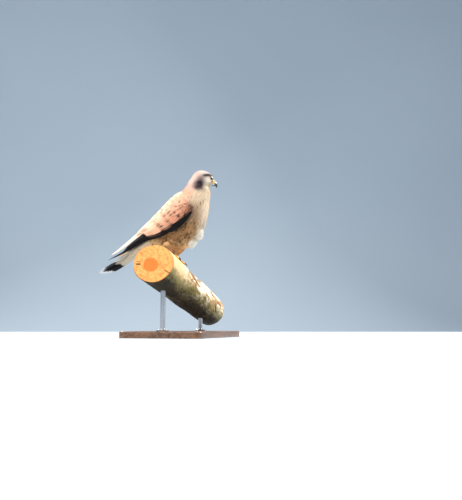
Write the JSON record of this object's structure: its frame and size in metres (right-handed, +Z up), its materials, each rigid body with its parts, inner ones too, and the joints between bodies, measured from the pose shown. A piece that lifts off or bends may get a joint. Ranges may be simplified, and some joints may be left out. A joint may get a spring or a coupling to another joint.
{
  "type": "common kestrel",
  "caption": "Life-size male common kestrel standing with folded wings and turned head on a short cut log, on a display stand.",
  "frame": {"origin": "middle of the stand base's underside", "axes": "+Z up; the picture looks along +Y with +X to its right; the bird's breast faces +X turned 22 degrees towards -Y, and the log runs away along +Y turned 22 degrees towards +X"},
  "size_m": [0.3161, 0.348, 0.3453],
  "materials": {
    "feather_chestnut": "matt chestnut feathers with dark spots",
    "feather_cream": "matt cream feathers with dark streaks",
    "feather_grey": "matt blue-grey feathers",
    "cere_yellow": "smooth skin",
    "bill_horn": "polished horn",
    "eye_dark": "wet gloss",
    "foot_yellow": "scaly skin",
    "claw_black": "polished horn",
    "log_bark": "rough bark with sawn ends",
    "stand_wood": "satin lacquer",
    "stand_steel": "brushed"
  },
  "bodies": {
    "root": {"stand_base": "stand_wood", "stand_rod_front": "stand_steel", "stand_rod_back": "stand_steel", "perch_log": "log_bark", "torso": "feather_cream", "neck": "feather_cream", "head": "feather_grey", "tail": "feather_grey", "cere": "cere_yellow", "bill_upper": "bill_horn", "bill_lower": "bill_horn", "wing_left": "feather_chestnut", "thigh_left": "feather_cream", "foot_left": "foot_yellow", "eye_left": "eye_dark", "claw_left_hind": "claw_black", "claw_left_inner": "claw_black", "claw_left_middle": "claw_black", "claw_left_outer": "claw_black", "wing_right": "feather_chestnut", "thigh_right": "feather_cream", "foot_right": "foot_yellow", "eye_right": "eye_dark", "claw_right_hind": "claw_black", "claw_right_inner": "claw_black", "claw_right_middle": "claw_black", "claw_right_outer": "claw_black"}
  },
  "joints": []
}
